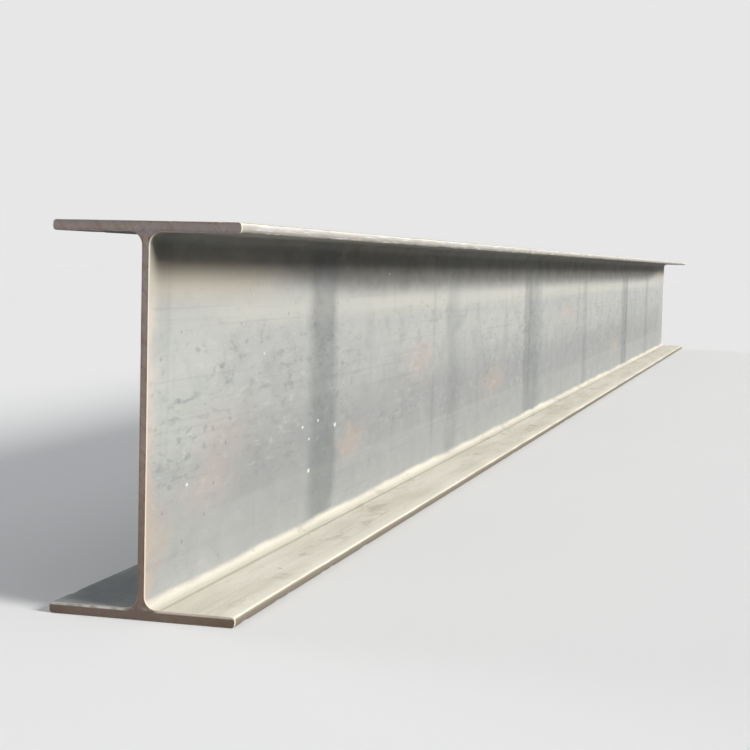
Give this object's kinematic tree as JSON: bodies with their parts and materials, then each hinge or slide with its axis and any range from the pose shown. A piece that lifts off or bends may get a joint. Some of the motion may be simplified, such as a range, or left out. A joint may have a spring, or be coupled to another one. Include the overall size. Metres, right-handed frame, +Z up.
{
  "type": "steel h-beam",
  "caption": "Hot rolled steel H beam: an upright web between two parallel flanges, with filleted roots and sawn square ends, in a stock length.",
  "frame": {"origin": "middle of the lower flange's underside: half way along the beam, under the web", "axes": "+X along the beam's length, +Y across the flanges, +Z up along the web, out of the upper flange"},
  "size_m": [6, 0.199, 0.396],
  "materials": {
    "mill_scale_steel": "dull mill scale with light rust, sawn ends"
  },
  "bodies": {
    "root": {"h_beam": "mill_scale_steel"}
  },
  "joints": []
}
